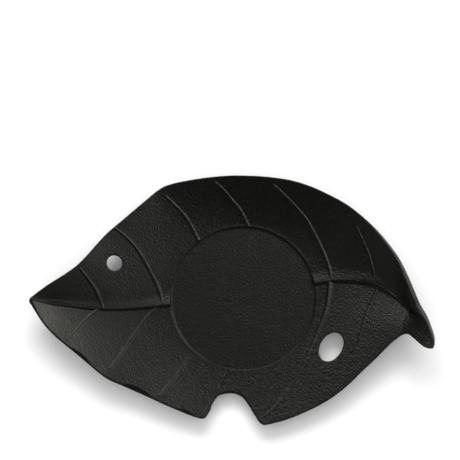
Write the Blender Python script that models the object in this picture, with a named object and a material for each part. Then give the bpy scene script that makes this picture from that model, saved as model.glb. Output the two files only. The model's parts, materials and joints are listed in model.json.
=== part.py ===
"""Cast iron leaf dish: one sand casting shaped as a curled leaf, standing on three push-in rubber feet.

The leaf is a flat plate bent onto a dished sheet. Along X it runs from the leaf's tip to its tail, the
far edge is at +Y, and it stands on Z = 0. Points of the leaf are shares: X of LEAF_LENGTH and Y of
LEAF_WIDTH, from the middle of the cup recess, and rise of RIM_RISE, from the flat middle.
"""

from math import ceil, cos, pi, radians, sin

import bmesh
import bpy
import numpy as np
from mathutils import Matrix, Vector

# The leaf
LEAF_LENGTH = 0.152
LEAF_WIDTH = 0.095
RIM_RISE = 0.017
THICKNESS = 0.003
RIM_ROUND = 0.0007
VALLEY_ROUND = 0.0015

# The cup recess
RECESS_RADIUS = 0.0275
RECESS_DEPTH = 0.0008
RECESS_FILLET = 0.0005
SURROUND_WIDTH = 0.001
SURROUND_FADE = 0.0025

# Slopes, as rise over run: up to the gentle one the leaf's edge is upright, as a mould draws it, and
# from the steep one on, as along the tail, it is square to the leaf's faces
GENTLE_SLOPE_SHARE = 0.5
STEEP_SLOPE_SHARE = 0.9

# The raised ribs
MIDRIB_WIDTH = 0.002
MIDRIB_HEIGHT = 0.0007
VEIN_WIDTH = 0.0013
VEIN_HEIGHT = 0.00045
RIB_END_SHARE = 0.5

# The insect bites
ROUND_HOLE_DIAMETER = 0.0053
OVAL_HOLE_LENGTH = 0.0113
OVAL_HOLE_WIDTH = 0.0078
OVAL_HOLE_TURN = radians(-30)
HOLE_DRAFT = radians(4)

# The feet and their bosses
FOOT_CIRCLE_RADIUS = 0.0225
FOOT_DIAMETER = 0.0095
FOOT_PAD_HEIGHT = 0.0022
FOOT_ROUND = 0.0006
STEM_DIAMETER = 0.004
BOSS_DIAMETER = 0.0105
BOSS_HEIGHT = 0.0015
BOSS_ROUND = 0.0004
SOCKET_ROOF = 0.0012
FIT_GAP = 0.0003

# How finely the shapes are cut
RIM_SPACING = 0.003
GRID_CELL = 0.004
RIB_SPACING = 0.003
SLOPE_STEP = 0.0005
OVERRUN = 0.002
WELD_REACH = 0.000002
RECESS_SIDES = 64
HOLE_SIDES = 20
FOOT_SIDES = 24
CORNER_STEPS = 3
FLATNESS_SHARE = 0.001
SURROUND_KNOTS = 24

# Heights above the table, worked out from the sizes above
BOSS_LEVEL = FOOT_PAD_HEIGHT + FIT_GAP
LEAF_LEVEL = BOSS_LEVEL + BOSS_HEIGHT + THICKNESS
RECESS_LEVEL = LEAF_LEVEL - RECESS_DEPTH
SOCKET_LEVEL = RECESS_LEVEL - SOCKET_ROOF
CLEAR_LEVEL = LEAF_LEVEL + RIM_RISE + THICKNESS

# Corners of the outline, as shares: x, y, rise
LEAF_TIP_SHARE = (-0.531, -0.018, 0.71)
TAIL_TIP_SHARE = (0.470, -0.205, 1.0)
TAIL_CORNER_SHARE = (0.396, -0.156, 0.53)
BITE_RIGHT_SHARE = (0.048, -0.513, 0.12)
BITE_LEFT_SHARE = (-0.094, -0.489, 0.14)

# The edges between those corners, each from its left end: x, y, rise
FAR_EDGE_SHARES = (
    (-0.484, 0.037, 0.63), (-0.439, 0.085, 0.56), (-0.401, 0.135, 0.52), (-0.345, 0.239, 0.45),
    (-0.304, 0.299, 0.42), (-0.255, 0.368, 0.39), (-0.210, 0.429, 0.37), (-0.180, 0.451, 0.38),
    (-0.128, 0.468, 0.40), (-0.065, 0.481, 0.42), (0.000, 0.484, 0.45), (0.074, 0.476, 0.47),
    (0.141, 0.455, 0.49), (0.206, 0.413, 0.52), (0.270, 0.354, 0.55), (0.329, 0.267, 0.60),
    (0.380, 0.158, 0.67), (0.405, 0.071, 0.74), (0.426, -0.022, 0.82), (0.444, -0.078, 0.90),
    (0.459, -0.131, 0.95), (0.468, -0.178, 0.99),
)
TAIL_LIP_SHARES = (
    (0.464, -0.226, 0.99), (0.447, -0.223, 0.92), (0.434, -0.205, 0.82), (0.421, -0.182, 0.73),
    (0.408, -0.161, 0.61),
)
NEAR_EDGE_LEFT_SHARES = (
    (-0.512, -0.073, 0.66), (-0.489, -0.125, 0.62), (-0.461, -0.171, 0.57), (-0.431, -0.210, 0.52),
    (-0.402, -0.247, 0.47), (-0.353, -0.312, 0.39), (-0.328, -0.338, 0.35), (-0.299, -0.357, 0.32),
    (-0.248, -0.392, 0.27), (-0.204, -0.424, 0.23), (-0.161, -0.453, 0.19), (-0.120, -0.479, 0.16),
)
BITE_EDGE_SHARES = (
    (-0.083, -0.457), (-0.075, -0.421), (-0.063, -0.394), (-0.050, -0.384), (-0.027, -0.380),
    (-0.006, -0.391), (0.007, -0.413), (0.021, -0.449), (0.035, -0.490),
)
NEAR_EDGE_RIGHT_SHARES = (
    (0.099, -0.493, 0.12), (0.141, -0.468, 0.14), (0.182, -0.438, 0.15), (0.221, -0.402, 0.19),
    (0.258, -0.356, 0.24), (0.292, -0.304, 0.30), (0.330, -0.248, 0.38), (0.349, -0.218, 0.42),
    (0.371, -0.185, 0.47),
)

# The valley along the midrib, and the fold where the tail turns up: x, y, rise
MIDRIB_LEFT_SHARES = (
    (-0.522, -0.020, 0.65), (-0.505, -0.026, 0.56), (-0.477, -0.034, 0.43), (-0.435, -0.040, 0.32),
    (-0.374, -0.048, 0.20), (-0.325, -0.048, 0.13), (-0.268, -0.042, 0.06), (-0.219, -0.033, 0.02),
    (-0.160, -0.021, 0.0),
)
MIDRIB_RIGHT_SHARES = (
    (0.160, 0.055, 0.0), (0.204, 0.066, 0.01), (0.229, 0.069, 0.04), (0.266, 0.067, 0.09),
    (0.309, 0.056, 0.18), (0.345, 0.033, 0.26), (0.378, 0.001, 0.35), (0.400, -0.027, 0.42),
    (0.418, -0.057, 0.49),
)
TAIL_FOLD_SHARES = ((0.406, -0.090, 0.50), (0.393, -0.127, 0.51))

# The side veins, each from its thick end: x, y
VEIN_SHARES = {
    "far_tip": ((-0.342, -0.045), (-0.357, 0.016), (-0.372, 0.054), (-0.397, 0.104)),
    "far_left": (
        (-0.194, -0.028), (-0.206, 0.042), (-0.231, 0.121), (-0.255, 0.185), (-0.283, 0.234),
        (-0.313, 0.270),
    ),
    "far_middle_left": ((-0.098, 0.205), (-0.125, 0.293), (-0.150, 0.346), (-0.186, 0.401)),
    "far_middle": ((0.025, 0.265), (0.002, 0.343), (-0.020, 0.386), (-0.043, 0.428), (-0.064, 0.457)),
    "far_right": (
        (0.224, 0.069), (0.219, 0.122), (0.204, 0.187), (0.185, 0.251), (0.160, 0.319),
        (0.122, 0.386), (0.082, 0.444),
    ),
    "far_tail": ((0.334, 0.040), (0.329, 0.104), (0.316, 0.182), (0.288, 0.280)),
    "near_tip": ((-0.360, -0.048), (-0.391, -0.096), (-0.415, -0.143), (-0.433, -0.176)),
    "near_left": ((-0.214, -0.033), (-0.244, -0.090), (-0.274, -0.157), (-0.305, -0.236), (-0.329, -0.288)),
    "near_middle_left": ((-0.112, -0.175), (-0.144, -0.261), (-0.169, -0.317), (-0.206, -0.391)),
    "near_bite": ((-0.018, -0.255), (-0.052, -0.345), (-0.076, -0.410), (-0.098, -0.465)),
    "near_right": (
        (0.215, 0.068), (0.206, -0.039), (0.185, -0.129), (0.154, -0.241), (0.117, -0.352),
        (0.079, -0.434), (0.048, -0.478),
    ),
    "near_tail": ((0.333, 0.040), (0.304, -0.067), (0.285, -0.167), (0.265, -0.223)),
}
MIDRIB_RUNS = {"midrib_left": MIDRIB_LEFT_SHARES[::-1], "midrib_right": MIDRIB_RIGHT_SHARES}

# The middles of the two holes: x, y
ROUND_HOLE_SHARE = (-0.319, 0.134)
OVAL_HOLE_SHARE = (0.218, -0.198)

FOOT_PLACES = {"front_left": radians(215), "front_right": radians(325), "rear": radians(90)}


def placed(shares):
    """Points of the leaf in metres: x, y and, where the shares have one, rise."""
    sizes = (LEAF_LENGTH, LEAF_WIDTH, RIM_RISE)
    return np.array([[share * size for share, size in zip(point, sizes)] for point in shares])


def smooth_run(points, spacing):
    """Points about spacing apart, along a smooth curve through the given ones."""
    before_first = 2 * points[0] - points[1]
    after_last = 2 * points[-1] - points[-2]
    padded = np.vstack([before_first, points, after_last])
    run = []
    for before, start, end, after in zip(padded, padded[1:], padded[2:], padded[3:]):
        steps = max(1, round(float(np.linalg.norm(end - start)) / spacing))
        for t in np.arange(steps) / steps:
            bend = (2 * before - 5 * start + 4 * end - after) * t
            turn = (3 * start - before - 3 * end + after) * t * t
            run.append(start + t * (end - before + bend + turn) / 2)
    run.append(points[-1])
    return np.array(run)


def ease(share):
    """A smooth step from 0 to 1."""
    share = np.clip(share, 0, 1)
    return share * share * (3 - 2 * share)


def sheet_through(knots):
    """The rise of a springy sheet through knots of x, y and rise, as a function of places."""
    places = knots[:, :2] / LEAF_LENGTH
    count = len(places)

    def pull(targets):
        apart = np.linalg.norm(targets[:, None] - places[None], axis=2)
        return apart**2 * np.log(np.where(apart > 0, apart, 1))

    system = np.zeros((count + 3, count + 3))
    system[:count, :count] = pull(places)
    system[:count, count] = 1
    system[:count, count + 1:] = places
    system[count:, :count] = system[:count, count:].T
    weights = np.linalg.solve(system, np.append(knots[:, 2], [0, 0, 0]))

    def rise(targets):
        shares = targets / LEAF_LENGTH
        return pull(shares) @ weights[:count] + weights[count] + shares @ weights[count + 1:]

    return rise


VALLEY = placed(
    (LEAF_TIP_SHARE, *MIDRIB_LEFT_SHARES, *MIDRIB_RIGHT_SHARES, *TAIL_FOLD_SHARES, TAIL_CORNER_SHARE)
)
VALLEY_LINE = smooth_run(VALLEY[:, :2], RIM_SPACING)
SURROUND = np.array([
    [radius * cos(turn), radius * sin(turn), 0]
    for radius in (RECESS_RADIUS / 2, RECESS_RADIUS + SURROUND_WIDTH)
    for turn in np.arange(SURROUND_KNOTS) * 2 * pi / SURROUND_KNOTS
])
FAR_RIM = placed((*FAR_EDGE_SHARES, TAIL_TIP_SHARE, *TAIL_LIP_SHARES))
NEAR_RIM = placed((*NEAR_EDGE_LEFT_SHARES, BITE_LEFT_SHARE, BITE_RIGHT_SHARE, *NEAR_EDGE_RIGHT_SHARES))
FAR_SHEET = sheet_through(np.vstack([VALLEY, SURROUND, FAR_RIM]))
NEAR_SHEET = sheet_through(np.vstack([VALLEY, SURROUND, NEAR_RIM]))


def side_of_valley(places):
    """How far each place lies from the midrib and fold: above 0 on the far side, below 0 on the near one."""
    starts, runs = VALLEY_LINE[:-1], np.diff(VALLEY_LINE, axis=0)
    offsets = places[:, None] - starts[None]
    along = np.clip((offsets * runs).sum(axis=2) / (runs * runs).sum(axis=1), 0, 1)
    gaps = np.linalg.norm(offsets - along[..., None] * runs, axis=2)
    nearest = gaps.argmin(axis=1)
    rows = np.arange(len(places))
    run, offset = runs[nearest], offsets[rows, nearest]
    return np.sign(run[:, 0] * offset[:, 1] - run[:, 1] * offset[:, 0]) * gaps[rows, nearest]


def leaf_rise(places):
    """How far the middle of the plate's thickness rises above the flat middle of the leaf."""
    far_share = ease(0.5 + side_of_valley(places) / (2 * VALLEY_ROUND))
    rise = far_share * FAR_SHEET(places) + (1 - far_share) * NEAR_SHEET(places)
    radius = np.linalg.norm(places, axis=1)
    return rise * ease((radius - RECESS_RADIUS) / SURROUND_FADE)


def leaf_points(places, depths):
    """Where points lie that are the given depths under the leaf's upper face."""
    across, along = np.array([SLOPE_STEP, 0]), np.array([0, SLOPE_STEP])
    slope_x = (leaf_rise(places + across) - leaf_rise(places - across)) / (2 * SLOPE_STEP)
    slope_y = (leaf_rise(places + along) - leaf_rise(places - along)) / (2 * SLOPE_STEP)
    steepness = np.hypot(slope_x, slope_y)
    lean = ease((steepness - GENTLE_SLOPE_SHARE) / (STEEP_SLOPE_SHARE - GENTLE_SLOPE_SHARE))
    upward = np.column_stack([-slope_x * lean, -slope_y * lean, np.ones(len(places))])
    spread = np.sqrt(1 + steepness**2) / (1 + lean * steepness**2)
    middle = np.column_stack([places, leaf_rise(places) + LEAF_LEVEL - THICKNESS / 2])
    return middle + upward * ((THICKNESS / 2 - np.asarray(depths)) * spread)[:, None]


def leaf_edges():
    """The far edge and the near edge, each from the leaf's tip to the tail's inner corner."""
    far = [(LEAF_TIP_SHARE, *FAR_EDGE_SHARES, TAIL_TIP_SHARE, *TAIL_LIP_SHARES, TAIL_CORNER_SHARE)]
    near = [
        (LEAF_TIP_SHARE, *NEAR_EDGE_LEFT_SHARES, BITE_LEFT_SHARE),
        (BITE_LEFT_SHARE, *BITE_EDGE_SHARES, BITE_RIGHT_SHARE),
        (BITE_RIGHT_SHARE, *NEAR_EDGE_RIGHT_SHARES, TAIL_CORNER_SHARE),
    ]
    for runs in (far, near):
        smooth = [smooth_run(placed([share[:2] for share in run]), RIM_SPACING) for run in runs]
        yield np.vstack([run[:-1] for run in smooth] + [smooth[-1][-1:]])


def add_object(name, mesh, material=None):
    """Put a mesh in the scene under the dish's own origin."""
    item = bpy.data.objects.new(name, mesh)
    bpy.context.scene.collection.objects.link(item)
    item.parent = bpy.data.objects["dish"]
    if material:
        mesh.materials.append(material)
    return item


def mesh_from(bm, name):
    """A mesh with its normals facing out, shaded smooth but for its sharp edges."""
    bmesh.ops.recalc_face_normals(bm, faces=bm.faces)
    mesh = bpy.data.meshes.new(name)
    bm.to_mesh(mesh)
    bm.free()
    mesh.shade_smooth()
    mesh.set_sharp_from_angle(angle=radians(35))
    return mesh


def as_helper(item):
    """Mark an object as a cutter or a guide that isn't a piece of the dish."""
    item.hide_render = True
    item.display_type = "WIRE"
    return item


def turned(profile, sides, name):
    """A closed solid turned round Z from a profile of radius and height, bottom to top."""
    bm = bmesh.new()
    verts = [bm.verts.new((radius, 0, height)) for radius, height in profile]
    edges = [bm.edges.new(pair) for pair in zip(verts, verts[1:])]
    bmesh.ops.spin(
        bm, geom=verts + edges, cent=(0, 0, 0), axis=(0, 0, 1), angle=2 * pi, steps=sides, use_merge=True
    )
    bmesh.ops.remove_doubles(bm, verts=bm.verts, dist=WELD_REACH)
    return mesh_from(bm, name)


def rounded_corner(radius, height, fillet):
    """Profile points round the bottom corner of a turned solid, from its underside to its wall."""
    turns = [pi / 2 * step / CORNER_STEPS for step in range(CORNER_STEPS + 1)]
    return [(radius - fillet * (1 - sin(turn)), height + fillet * (1 - cos(turn))) for turn in turns]


def leaf_plate():
    """The plain leaf: a plate in two halves that share the valley, its edges rounded, bent onto the sheet."""
    bm = bmesh.new()
    valley = [bm.verts.new((x, y, 0)) for x, y in VALLEY_LINE]
    far, near = [[bm.verts.new((x, y, 0)) for x, y in edge[1:-1]] for edge in leaf_edges()]
    halves = [bm.faces.new(valley + far[::-1]), bm.faces.new([valley[0], *near, *valley[:0:-1]])]
    raised = bmesh.ops.extrude_face_region(bm, geom=halves, use_keep_orig=True)
    upper = [item for item in raised["geom"] if isinstance(item, bmesh.types.BMVert)]
    bmesh.ops.translate(bm, verts=upper, vec=(0, 0, THICKNESS))
    bmesh.ops.recalc_face_normals(bm, faces=bm.faces)
    rim = [edge for edge in bm.edges if is_rim(edge)]
    bmesh.ops.bevel(
        bm, geom=rim, offset=RIM_ROUND, segments=2, profile=0.5, affect="EDGES", material=-1
    )
    cut_into_cells(bm)
    bmesh.ops.triangulate(bm, faces=bm.faces)
    flat = np.array([vert.co for vert in bm.verts])
    for vert, place in zip(bm.verts, leaf_points(flat[:, :2], THICKNESS - flat[:, 2])):
        vert.co = place
    return mesh_from(bm, "leaf_casting")


def is_level(face):
    """Whether a face of the flat plate is part of its upper or lower side."""
    return abs(face.normal.z) > 1 - FLATNESS_SHARE


def is_rim(edge):
    """Whether an edge of the flat plate lies between a level face and its wall."""
    return sum(is_level(face) for face in edge.link_faces) == 1


def cut_into_cells(bm):
    """Cut the plate's two large faces into square cells, so that they can bend."""
    for axis in (Vector((1, 0, 0)), Vector((0, 1, 0))):
        reach = [vert.co.dot(axis) for vert in bm.verts]
        lines = range(ceil(min(reach) / GRID_CELL), ceil(max(reach) / GRID_CELL))
        for line in lines:
            faces = [face for face in bm.faces if is_level(face)]
            edges = {edge for face in faces for edge in face.edges}
            verts = {vert for face in faces for vert in face.verts}
            bmesh.ops.bisect_plane(
                bm, geom=[*faces, *edges, *verts], plane_co=axis * line * GRID_CELL, plane_no=axis
            )


def rib(name, shares, width, height):
    """A raised bead along the leaf: a round bar sunk until only its back shows, thinner at its far end."""
    bar_radius = (width**2 / 4 + height**2) / (2 * height)
    path = smooth_run(placed([point[:2] for point in shares]), RIB_SPACING)
    taper = np.linspace(1, RIB_END_SHARE, len(path))
    curve = bpy.data.curves.new(name, "CURVE")
    curve.dimensions = "3D"
    curve.twist_mode = "Z_UP"
    curve.bevel_depth = bar_radius
    curve.bevel_resolution = 2
    curve.use_fill_caps = True
    spline = curve.splines.new("POLY")
    spline.points.add(len(path) - 1)
    for point, place, size in zip(spline.points, leaf_points(path, (bar_radius - height) * taper), taper):
        point.co = (*place, 1)
        point.radius = size
    guide = bpy.data.objects.new(name + "_guide", curve)
    bm = bmesh.new()
    bm.from_mesh(guide.to_mesh())
    guide.to_mesh_clear()
    bpy.data.objects.remove(guide)
    bmesh.ops.remove_doubles(bm, verts=bm.verts, dist=WELD_REACH)
    return as_helper(add_object(name, mesh_from(bm, name)))


def recess_cutter():
    """The cup recess: a flat floor, a small fillet and an upright wall."""
    profile = [(0, RECESS_LEVEL)]
    profile += rounded_corner(RECESS_RADIUS, RECESS_LEVEL, RECESS_FILLET)
    profile += [(RECESS_RADIUS, CLEAR_LEVEL), (0, CLEAR_LEVEL)]
    return as_helper(add_object("recess_cutter", turned(profile, RECESS_SIDES, "recess_cutter")))


def hole_cutter(name, share, length, width, turn):
    """An upright hole that opens upwards by the mould's draft."""
    height = CLEAR_LEVEL - BOSS_LEVEL
    x, y = placed([share])[0]
    level = leaf_rise(np.array([[x, y]]))[0] + LEAF_LEVEL
    widen = sin(HOLE_DRAFT) * height
    bm = bmesh.new()
    bmesh.ops.create_cone(
        bm,
        cap_ends=True,
        segments=HOLE_SIDES,
        radius1=(length - widen) / 2,
        radius2=(length + widen) / 2,
        depth=height,
        matrix=Matrix.Translation((x, y, level))
        @ Matrix.Rotation(turn, 4, "Z")
        @ Matrix.Diagonal((width / length, 1, 1, 1)),
    )
    return as_helper(add_object(name, mesh_from(bm, name)))


def foot_places():
    """Each foot's name and its place round the recess's middle."""
    for name, turn in FOOT_PLACES.items():
        yield name, Vector((FOOT_CIRCLE_RADIUS * cos(turn), FOOT_CIRCLE_RADIUS * sin(turn), 0))


def bosses_and_sockets():
    """The cast bosses under the leaf, and the blind sockets that the feet push into."""
    boss_radius = BOSS_DIAMETER / 2
    boss_top = RECESS_LEVEL - SOCKET_ROOF / 2
    boss = [(0, BOSS_LEVEL)]
    boss += rounded_corner(boss_radius, BOSS_LEVEL, BOSS_ROUND)
    boss += [(boss_radius, boss_top), (0, boss_top)]
    socket_radius = STEM_DIAMETER / 2 + FIT_GAP
    socket_foot = BOSS_LEVEL - OVERRUN
    socket = [(0, socket_foot), (socket_radius, socket_foot), (socket_radius, SOCKET_LEVEL), (0, SOCKET_LEVEL)]
    boss_mesh = turned(boss, FOOT_SIDES, "boss")
    socket_mesh = turned(socket, FOOT_SIDES, "socket")
    made = []
    for name, place in foot_places():
        for kind, mesh in (("boss", boss_mesh), ("socket", socket_mesh)):
            item = as_helper(add_object(f"{kind}_{name}", mesh))
            item.location = place
            made.append(item)
    return made[::2], made[1::2]


def feet(material):
    """Three rubber feet, each a pad under its boss and a stem up its socket."""
    pad_radius = FOOT_DIAMETER / 2
    stem_radius = STEM_DIAMETER / 2
    stem_top = SOCKET_LEVEL - FIT_GAP
    profile = [(0, 0)]
    profile += rounded_corner(pad_radius, 0, FOOT_ROUND)
    profile += [(pad_radius, FOOT_PAD_HEIGHT), (stem_radius, FOOT_PAD_HEIGHT)]
    profile += [(stem_radius, stem_top - FIT_GAP), (stem_radius - FIT_GAP, stem_top), (0, stem_top)]
    mesh = turned(profile, FOOT_SIDES, "foot")
    mesh.materials.append(material)
    for name, place in foot_places():
        add_object("foot_" + name, mesh).location = place


def combine(target, operation, others):
    """Add other solids to the target, or cut them from it."""
    for other in others:
        modifier = target.modifiers.new(other.name, "BOOLEAN")
        modifier.operation = operation
        modifier.solver = "EXACT"
        modifier.object = other


def material(name, colour, roughness, metallic):
    """A plain Principled material."""
    made = bpy.data.materials.new(name)
    made.use_nodes = True
    shader = made.node_tree.nodes["Principled BSDF"]
    shader.inputs["Base Color"].default_value = (*colour, 1)
    shader.inputs["Roughness"].default_value = roughness
    shader.inputs["Metallic"].default_value = metallic
    return made


def leaf_casting():
    """The casting: the plate with its ribs and bosses on, and its recess, holes and sockets out."""
    black_iron = material("black_cast_iron", (0.028, 0.027, 0.026), 0.5, 0.4)
    casting = add_object("leaf_casting", leaf_plate(), black_iron)
    ribs = [rib(name, run, MIDRIB_WIDTH, MIDRIB_HEIGHT) for name, run in MIDRIB_RUNS.items()]
    ribs += [rib("vein_" + name, run, VEIN_WIDTH, VEIN_HEIGHT) for name, run in VEIN_SHARES.items()]
    boss_solids, sockets = bosses_and_sockets()
    combine(casting, "UNION", ribs + boss_solids)
    holes = [
        hole_cutter("round_hole_cutter", ROUND_HOLE_SHARE, ROUND_HOLE_DIAMETER, ROUND_HOLE_DIAMETER, 0),
        hole_cutter("oval_hole_cutter", OVAL_HOLE_SHARE, OVAL_HOLE_LENGTH, OVAL_HOLE_WIDTH, OVAL_HOLE_TURN),
    ]
    combine(casting, "DIFFERENCE", [recess_cutter(), *holes, *sockets])
    return casting


def centre_over_origin(dish, casting):
    """Move the dish so that the middle of its box stands over the world's origin."""
    corners = np.array([vert.co for vert in casting.data.vertices])
    middle = (corners.min(axis=0) + corners.max(axis=0)) / 2
    dish.location = (-middle[0], -middle[1], 0)


def main():
    for item in list(bpy.data.objects):
        bpy.data.objects.remove(item)
    dish = bpy.data.objects.new("dish", None)
    bpy.context.scene.collection.objects.link(dish)
    casting = leaf_casting()
    feet(material("black_rubber", (0.02, 0.02, 0.02), 0.8, 0.0))
    centre_over_origin(dish, casting)


main()
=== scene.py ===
"""Looks of a cast iron leaf dish: the fine surface of its casting, its rubber feet and a plain studio.

Lengths are in metres. Points of the leaf are shares: X of the leaf's length and Y of its width, from the
middle of the cup recess, and rise as a share of the rim's rise over the flat middle. They are those of
the frame's solids, but for the far veins, which lie a two-hundredth of the length nearer the leaf's tip.
The leaf is first made flat, with its underside at Z = 0, and then bent.
"""

import json
from math import ceil, cos, pi, radians, sin

import bmesh
import bpy
import numpy as np
from bpy.props import FloatProperty, FloatVectorProperty, PointerProperty
from mathutils import Matrix, Vector, noise

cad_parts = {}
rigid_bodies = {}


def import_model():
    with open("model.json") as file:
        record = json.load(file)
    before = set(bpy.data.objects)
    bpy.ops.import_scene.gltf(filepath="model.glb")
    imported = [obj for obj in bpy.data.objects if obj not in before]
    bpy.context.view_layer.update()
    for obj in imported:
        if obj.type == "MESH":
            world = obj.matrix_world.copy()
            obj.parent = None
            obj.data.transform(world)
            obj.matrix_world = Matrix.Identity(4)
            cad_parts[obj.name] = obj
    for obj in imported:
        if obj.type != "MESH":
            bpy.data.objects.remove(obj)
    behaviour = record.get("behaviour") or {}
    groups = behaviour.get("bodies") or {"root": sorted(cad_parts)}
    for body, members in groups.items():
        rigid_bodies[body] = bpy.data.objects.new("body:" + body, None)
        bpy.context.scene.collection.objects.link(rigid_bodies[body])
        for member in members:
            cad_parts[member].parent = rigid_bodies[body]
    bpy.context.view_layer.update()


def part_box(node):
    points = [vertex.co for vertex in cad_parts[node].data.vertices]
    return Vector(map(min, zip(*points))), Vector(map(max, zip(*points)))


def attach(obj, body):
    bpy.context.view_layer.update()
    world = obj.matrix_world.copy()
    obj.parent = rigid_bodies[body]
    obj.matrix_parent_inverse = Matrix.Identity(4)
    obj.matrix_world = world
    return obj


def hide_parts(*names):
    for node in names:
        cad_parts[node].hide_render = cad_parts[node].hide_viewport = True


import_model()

bl_info = {
    "name": "Cast iron leaf dish",
    "version": (1, 0, 0),
    "blender": (4, 5, 0),
    "location": "3D View > Sidebar > Leaf Dish",
    "description": "Models a sand-cast leaf dish, its feet and a studio",
    "category": "Add Mesh",
}

MM = 0.001

# The frame's feet, which say where the dish stands, and the radius of the circle that they stand on
FOOT_NODES = ("foot_front_left", "foot_front_right", "foot_rear")
FOOT_LOW, FOOT_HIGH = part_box("foot_rear")
FOOT_CIRCLE_RADIUS = 0.0225

# Corners of the outline: x, y, rise
LEAF_TIP_SHARE = (-0.531, -0.018, 0.71)
TAIL_TIP_SHARE = (0.470, -0.205, 1.0)
TAIL_CORNER_SHARE = (0.396, -0.156, 0.53)
BITE_RIGHT_SHARE = (0.048, -0.513, 0.12)
BITE_LEFT_SHARE = (-0.094, -0.489, 0.14)

# The edges between those corners, each from its left end: x, y, rise
FAR_EDGE_SHARES = (
    (-0.484, 0.037, 0.63), (-0.439, 0.085, 0.56), (-0.401, 0.135, 0.52), (-0.345, 0.239, 0.45),
    (-0.304, 0.299, 0.42), (-0.255, 0.368, 0.39), (-0.210, 0.429, 0.37), (-0.180, 0.451, 0.38),
    (-0.128, 0.468, 0.40), (-0.065, 0.481, 0.42), (0.000, 0.484, 0.45), (0.074, 0.476, 0.47),
    (0.141, 0.455, 0.49), (0.206, 0.413, 0.52), (0.270, 0.354, 0.55), (0.329, 0.267, 0.60),
    (0.380, 0.158, 0.67), (0.405, 0.071, 0.74), (0.426, -0.022, 0.82), (0.444, -0.078, 0.90),
    (0.459, -0.131, 0.95), (0.468, -0.178, 0.99),
)
TAIL_LIP_SHARES = (
    (0.464, -0.226, 0.99), (0.447, -0.223, 0.92), (0.434, -0.205, 0.82), (0.421, -0.182, 0.73),
    (0.408, -0.161, 0.61),
)
NEAR_EDGE_LEFT_SHARES = (
    (-0.512, -0.073, 0.66), (-0.489, -0.125, 0.62), (-0.461, -0.171, 0.57), (-0.431, -0.210, 0.52),
    (-0.402, -0.247, 0.47), (-0.353, -0.312, 0.39), (-0.328, -0.338, 0.35), (-0.299, -0.357, 0.32),
    (-0.248, -0.392, 0.27), (-0.204, -0.424, 0.23), (-0.161, -0.453, 0.19), (-0.120, -0.479, 0.16),
)
BITE_EDGE_SHARES = (
    (-0.083, -0.457), (-0.075, -0.421), (-0.063, -0.394), (-0.050, -0.384), (-0.027, -0.380),
    (-0.006, -0.391), (0.007, -0.413), (0.021, -0.449), (0.035, -0.490),
)
NEAR_EDGE_RIGHT_SHARES = (
    (0.099, -0.493, 0.12), (0.141, -0.468, 0.14), (0.182, -0.438, 0.15), (0.221, -0.402, 0.19),
    (0.258, -0.356, 0.24), (0.292, -0.304, 0.30), (0.330, -0.248, 0.38), (0.349, -0.218, 0.42),
    (0.371, -0.185, 0.47),
)

# The valley along the midrib, and the fold where the tail turns up: x, y, rise
MIDRIB_LEFT_SHARES = (
    (-0.522, -0.020, 0.65), (-0.505, -0.026, 0.56), (-0.477, -0.034, 0.43), (-0.435, -0.040, 0.32),
    (-0.374, -0.048, 0.20), (-0.325, -0.048, 0.13), (-0.268, -0.042, 0.06), (-0.219, -0.033, 0.02),
    (-0.160, -0.021, 0.0),
)
MIDRIB_RIGHT_SHARES = (
    (0.160, 0.055, 0.0), (0.204, 0.066, 0.01), (0.229, 0.069, 0.04), (0.266, 0.067, 0.09),
    (0.309, 0.056, 0.18), (0.345, 0.033, 0.26), (0.378, 0.001, 0.35), (0.400, -0.027, 0.42),
    (0.418, -0.057, 0.49),
)
TAIL_FOLD_SHARES = ((0.406, -0.090, 0.50), (0.393, -0.127, 0.51))

# From which share of the valley's length on it sharpens towards that fold
FOLD_START_SHARE = 0.85

# The side veins, each from its thick end: x, y
VEIN_SHARES = {
    "far_tip": ((-0.347, -0.045), (-0.362, 0.016), (-0.377, 0.054), (-0.402, 0.104)),
    "far_left": (
        (-0.199, -0.028), (-0.211, 0.042), (-0.236, 0.121), (-0.260, 0.185), (-0.288, 0.234),
        (-0.318, 0.270),
    ),
    "far_middle_left": ((-0.103, 0.205), (-0.130, 0.293), (-0.155, 0.346), (-0.191, 0.401)),
    "far_middle": ((0.020, 0.265), (-0.003, 0.343), (-0.025, 0.386), (-0.048, 0.428), (-0.069, 0.457)),
    "far_right": (
        (0.219, 0.069), (0.214, 0.122), (0.199, 0.187), (0.180, 0.251), (0.155, 0.319),
        (0.117, 0.386), (0.077, 0.444),
    ),
    "far_tail": ((0.329, 0.040), (0.324, 0.104), (0.311, 0.182), (0.283, 0.280)),
    "near_tip": ((-0.360, -0.048), (-0.391, -0.096), (-0.415, -0.143), (-0.433, -0.176)),
    "near_left": ((-0.214, -0.033), (-0.244, -0.090), (-0.274, -0.157), (-0.305, -0.236), (-0.329, -0.288)),
    "near_middle_left": ((-0.112, -0.175), (-0.144, -0.261), (-0.169, -0.317), (-0.206, -0.391)),
    "near_bite": ((-0.018, -0.255), (-0.052, -0.345), (-0.076, -0.410), (-0.098, -0.465)),
    "near_right": (
        (0.215, 0.068), (0.206, -0.039), (0.185, -0.129), (0.154, -0.241), (0.117, -0.352),
        (0.079, -0.434), (0.048, -0.478),
    ),
    "near_tail": ((0.333, 0.040), (0.304, -0.067), (0.285, -0.167), (0.265, -0.223)),
}

# The middles of the two holes and of a small casting pit: x, y
ROUND_HOLE_SHARE = (-0.319, 0.134)
OVAL_HOLE_SHARE = (0.218, -0.198)
PIT_SHARE = (-0.428, -0.098)

# The middle of the bite and how far it reaches: there the rim's side is upright
BITE_SHARE = (-0.027, -0.45)
BITE_REACH = 0.0085

# Slopes, as rise over run: up to the gentle one the leaf's edge is upright, as a mould draws it, and
# from the steep one on, as along the tail, it is square to the leaf's faces
GENTLE_SLOPE_SHARE = 0.5
STEEP_SLOPE_SHARE = 0.9

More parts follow.
